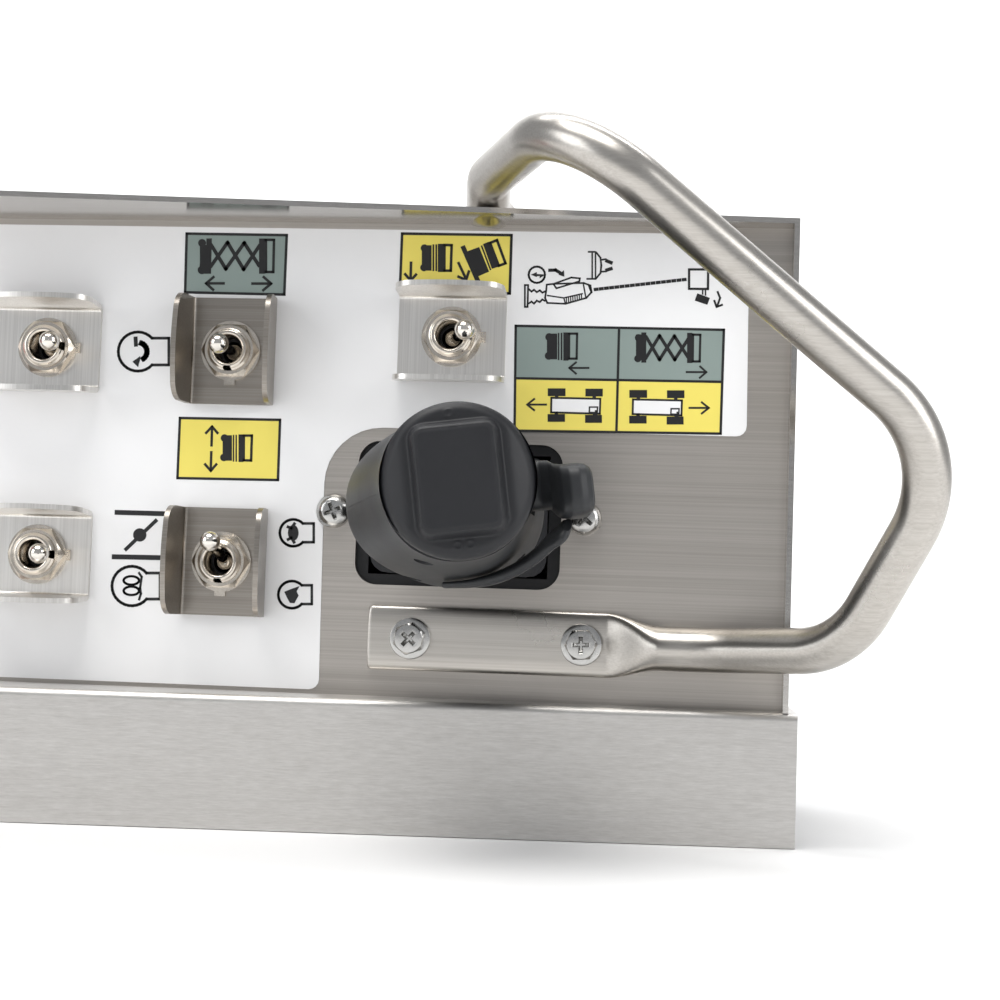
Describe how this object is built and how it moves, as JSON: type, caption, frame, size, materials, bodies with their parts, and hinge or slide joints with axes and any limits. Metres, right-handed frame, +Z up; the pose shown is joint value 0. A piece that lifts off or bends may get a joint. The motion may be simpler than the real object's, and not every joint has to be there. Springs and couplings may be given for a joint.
{
  "type": "operator control console",
  "caption": "Stainless operator control console with a guarded drive joystick, guarded toggle switches, push buttons, a bent tube guard and a base channel.",
  "frame": {"origin": "under the middle of the object's outer box, on the surface that the base channel's flanges stand on", "axes": "+X to the operator's right along the front panel, +Y from the operator into the box, +Z up; the front panel's face is parallel to the XZ plane"},
  "size_m": [0.3586, 0.2238, 0.1831],
  "materials": {
    "brushed_stainless": "brushed, grain along the length",
    "satin_stainless": "satin",
    "plated_steel": "zinc or nickel plated",
    "bright_screw": "bright plated",
    "lever_chrome": "bright plated",
    "black_plastic": "moulded, black",
    "grip_plastic": "fine matt texture",
    "soft_rubber": "soft matt rubber",
    "terminal_brass": "plain",
    "white_film": "printed film, semi-gloss",
    "red_button": "glossy",
    "grey_button": "glossy",
    "gland_nylon": "moulded nylon",
    "board_green": "circuit board"
  },
  "bodies": {
    "console": {"front_panel": "brushed_stainless", "hood_shell": "brushed_stainless", "rear_gasket": "soft_rubber", "rear_cover": "brushed_stainless", "cover_screws": "plated_steel", "base_channel": "brushed_stainless", "base_screws": "plated_steel", "base_nuts": "plated_steel", "panel_overlay": "white_film", "toggle_bodies": "black_plastic", "toggle_terminals": "terminal_brass", "toggle_bushings": "plated_steel", "toggle_washers": "plated_steel", "toggle_nuts": "plated_steel", "toggle_guards_side": "satin_stainless", "toggle_guards_upright": "satin_stainless", "guard_handle": "satin_stainless", "guard_bolts": "bright_screw", "guard_nuts": "plated_steel", "joystick_mount": "black_plastic", "joystick_screws": "bright_screw", "joystick_nuts": "plated_steel", "pivot_pin": "plated_steel", "sensor_board": "board_green", "centring_spring": "plated_steel", "stop_collar": "black_plastic", "stop_nut": "plated_steel", "stop_block": "black_plastic", "horn_bezel": "black_plastic", "horn_nut": "plated_steel", "horn_block": "black_plastic", "gland_body": "gland_nylon", "gland_cap": "gland_nylon", "gland_nut": "gland_nylon", "terminal_block": "gland_nylon", "terminal_screws": "plated_steel"},
    "stick": {"joystick_shaft": "plated_steel", "sensor_magnet": "plated_steel", "joystick_boot": "soft_rubber", "grip_upper_half": "grip_plastic", "grip_lower_half": "grip_plastic", "grip_cap": "soft_rubber", "grip_screws": "plated_steel", "rocker_pin": "plated_steel", "rocker_switches": "black_plastic", "trigger_pin": "plated_steel", "trigger_switch": "black_plastic", "trigger_spring": "plated_steel"},
    "rocker": {"thumb_rocker": "soft_rubber"},
    "trigger": {"trigger": "grip_plastic"},
    "stop_button": {"stop_button": "red_button"},
    "horn_button": {"horn_button": "grey_button"},
    "start_lever": {"start_lever": "lever_chrome"},
    "choke_lever": {"choke_lever": "lever_chrome"},
    "lift_lever": {"lift_lever": "lever_chrome"},
    "deck_lever": {"deck_lever": "lever_chrome"},
    "throttle_lever": {"throttle_lever": "lever_chrome"}
  },
  "joints": [
    {"name": "stick_tilt", "type": "hinge", "parent": "console", "child": "stick", "pos_m": [0.05264, 0.00106, 0.0862], "axis": [0, 0, 1], "range_deg": [-20, 20], "stiffness_Nm_per_rad": 0.6},
    {"name": "rocker_tip", "type": "hinge", "parent": "stick", "child": "rocker", "pos_m": [0.06364, -0.10182, 0.08909], "axis": [0.9842, 0.1091, 0.1391], "range_deg": [-7, 7], "stiffness_Nm_per_rad": 0.05},
    {"name": "trigger_squeeze", "type": "hinge", "parent": "stick", "child": "trigger", "pos_m": [0.07128, -0.0708, 0.08978], "axis": [0.1413, -0.0127, -0.9899], "range_deg": [0, 12], "stiffness_Nm_per_rad": 0.05, "springref_deg": -2.86},
    {"name": "start_switch", "type": "hinge", "parent": "console", "child": "start_lever", "pos_m": [-0.06616, -0.00644, 0.1302], "axis": [0, 0, 1], "range_deg": [-33, 0]},
    {"name": "choke_switch", "type": "hinge", "parent": "console", "child": "choke_lever", "pos_m": [-0.06616, -0.00644, 0.0715], "axis": [0, 0, 1], "range_deg": [-33, 0]},
    {"name": "lift_switch", "type": "hinge", "parent": "console", "child": "lift_lever", "pos_m": [0.04914, -0.00644, 0.1355], "axis": [0, 0, 1], "range_deg": [-33, 0]},
    {"name": "deck_switch", "type": "hinge", "parent": "console", "child": "deck_lever", "pos_m": [-0.01306, -0.00644, 0.1303], "axis": [1, 0, 0], "range_deg": [-16.5, 16.5]},
    {"name": "throttle_switch", "type": "hinge", "parent": "console", "child": "throttle_lever", "pos_m": [-0.01316, -0.00644, 0.0711], "axis": [1, 0, 0], "range_deg": [0, 33]},
    {"name": "stop_press", "type": "slide", "parent": "console", "child": "stop_button", "axis": [0, 1, 0], "range_m": [0, 0.004], "stiffness_N_per_m": 800, "springref_m": -0.0005},
    {"name": "horn_press", "type": "slide", "parent": "console", "child": "horn_button", "axis": [0, 1, 0], "range_m": [0, 0.0024], "stiffness_N_per_m": 600, "springref_m": -0.0005}
  ]
}
